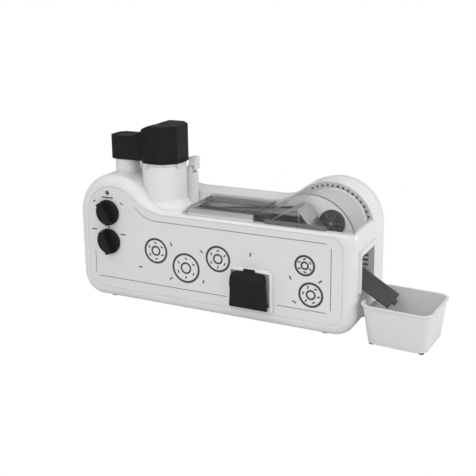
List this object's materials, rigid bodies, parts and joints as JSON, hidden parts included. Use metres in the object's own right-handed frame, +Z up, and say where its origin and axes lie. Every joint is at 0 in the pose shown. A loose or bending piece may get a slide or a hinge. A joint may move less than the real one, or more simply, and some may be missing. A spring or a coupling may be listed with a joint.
{
  "type": "donut maker",
  "caption": "Counter-top donut fryer: humped white case with a batter hopper and drive cover, clear covers over the fry lane, drain door, exit slide and tray.",
  "frame": {"origin": "on the table, under the middle of the whole set's box, tray included", "axes": "+X along the body towards the exit and tray, +Y from the front panel to the back, +Z up"},
  "size_m": [0.7346, 0.2122, 0.3606],
  "materials": {
    "white_plastic": "smooth satin gloss",
    "panel_plastic": "smooth satin",
    "tray_plastic": "smooth satin",
    "black_plastic": "fine satin black",
    "clear_plastic": "clear polished",
    "dark_plastic": "matt dark grey",
    "grey_plastic": "smooth light grey",
    "natural_plastic": "natural white",
    "steel": "bright sheet and drawn wire",
    "motor_metal": "dark zinc",
    "switch_plastic": "moulded dark",
    "rubber": "soft matt",
    "lens_plastic": "tinted lens"
  },
  "bodies": {
    "body": {"front_shell": "white_plastic", "rear_shell": "white_plastic", "hopper_socket": "white_plastic", "drive_post": "white_plastic", "exit_frame": "white_plastic", "door_surround": "white_plastic", "front_panel": "panel_plastic", "splash_rail": "dark_plastic", "divider_wall": "grey_plastic", "axle_bush": "natural_plastic", "fry_tank": "steel", "transfer_ramp": "steel", "tank_brackets": "steel", "chassis_plate": "steel", "chassis_screws": "steel", "door_pin": "steel", "drain_pipe": "steel", "idler_shaft": "steel", "motor_bracket": "steel", "latch_pin": "steel", "heating_element": "steel", "gear_motor": "motor_metal", "dispenser_motor": "motor_metal", "power_switch": "switch_plastic", "timer_switch": "switch_plastic", "heat_sensor": "switch_plastic", "feet": "rubber", "cord_inlet": "rubber", "conveyor_belt": "rubber", "indicator_lens": "lens_plastic", "indicator_lamp": "lens_plastic"},
    "upper_control": {"upper_knob": "black_plastic", "upper_shaft": "steel"},
    "lower_control": {"lower_knob": "black_plastic", "lower_shaft": "steel"},
    "door": {"drain_door": "black_plastic"},
    "drain_plug": {"drain_cap": "black_plastic"},
    "fry_lid": {"fry_cover": "clear_plastic"},
    "hood": {"wheel_hood": "clear_plastic"},
    "wheel": {"conveyor_wheel": "grey_plastic", "wheel_hub": "dark_plastic", "wheel_axle": "steel", "drive_gear": "natural_plastic"},
    "pinion": {"motor_pinion": "natural_plastic", "motor_shaft": "steel"},
    "idler": {"idler_pulley": "grey_plastic"},
    "dispenser": {"drive_cover": "black_plastic", "hopper": "natural_plastic", "beam_pin": "steel"},
    "rocker": {"rocker_beam": "natural_plastic"},
    "cutter": {"plunger": "natural_plastic"},
    "pushrod": {"lift_rod": "steel"},
    "cam": {"lift_cam": "natural_plastic"},
    "latch": {"latch_clip": "white_plastic"},
    "chute": {"donut_slide": "dark_plastic"},
    "tray": {"collecting_tray": "tray_plastic", "tray_feet": "rubber"}
  },
  "joints": [
    {"name": "upper_knob_turn", "type": "hinge", "parent": "body", "child": "upper_control", "pos_m": [-0.29385, -0.08593, 0.1845], "axis": [0, 1, 0], "range_deg": [0, 56]},
    {"name": "lower_knob_turn", "type": "hinge", "parent": "body", "child": "lower_control", "pos_m": [-0.29385, -0.08593, 0.1247], "axis": [0, 1, 0], "range_deg": [-20, 60]},
    {"name": "door_swing", "type": "hinge", "parent": "body", "child": "door", "pos_m": [0.02265, -0.09143, 0.044], "axis": [1, 0, 0], "range_deg": [0, 70]},
    {"name": "drain_cap_turn", "type": "hinge", "parent": "body", "child": "drain_plug", "pos_m": [0.02265, -0.08593, 0.066], "axis": [0, 1, 0], "range_deg": [0, 90]},
    {"name": "fry_cover_lift", "type": "slide", "parent": "body", "child": "fry_lid", "axis": [0, 0, 1], "range_m": [0, 0.12]},
    {"name": "hood_lift", "type": "slide", "parent": "body", "child": "hood", "axis": [0, 0, 1], "range_m": [0, 0.12]},
    {"name": "wheel_spin", "type": "hinge", "parent": "body", "child": "wheel", "pos_m": [0.14615, 0.01307, 0.19], "axis": [0, 1, 0], "continuous": true},
    {"name": "pinion_spin", "type": "hinge", "parent": "body", "child": "pinion", "pos_m": [0.14615, 0.03607, 0.1296], "axis": [0, 1, 0], "continuous": true},
    {"name": "idler_spin", "type": "hinge", "parent": "body", "child": "idler", "pos_m": [-0.10485, 0.01307, 0.17], "axis": [0, 1, 0], "continuous": true},
    {"name": "dispenser_lift", "type": "slide", "parent": "body", "child": "dispenser", "axis": [0, 0, 1], "range_m": [0, 0.12]},
    {"name": "beam_rock", "type": "hinge", "parent": "dispenser", "child": "rocker", "pos_m": [-0.2411, -0.02193, 0.316], "axis": [0, 1, 0], "range_deg": [-12, 12]},
    {"name": "cutter_stroke", "type": "slide", "parent": "dispenser", "child": "cutter", "axis": [0, 0, 1], "range_m": [-0.0091, 0.0091]},
    {"name": "pushrod_stroke", "type": "slide", "parent": "body", "child": "pushrod", "axis": [0, 0, 1], "range_m": [-0.0091, 0.0091]},
    {"name": "cam_spin", "type": "hinge", "parent": "body", "child": "cam", "pos_m": [-0.28435, -0.02193, 0.212], "axis": [0, 1, 0], "continuous": true},
    {"name": "latch_tilt", "type": "hinge", "parent": "body", "child": "latch", "pos_m": [-0.15535, 0.01307, 0.266], "axis": [0, 1, 0], "range_deg": [0, 20]},
    {"name": "chute_pull", "type": "slide", "parent": "body", "child": "chute", "axis": [0.8572, 0, -0.515], "range_m": [0, 0.06]},
    {"name": "tray_pull", "type": "slide", "parent": "body", "child": "tray", "axis": [0.9979, -0.0645, 0], "range_m": [0, 0.15]}
  ],
  "couplings": [
    {"joint": "pinion_spin", "follows": "wheel_spin", "ratio": -4},
    {"joint": "idler_spin", "follows": "wheel_spin", "ratio": 1.4444},
    {"joint": "cutter_stroke", "follows": "beam_rock", "m_per_rad": -0.04325},
    {"joint": "pushrod_stroke", "follows": "beam_rock", "m_per_rad": 0.04325}
  ]
}
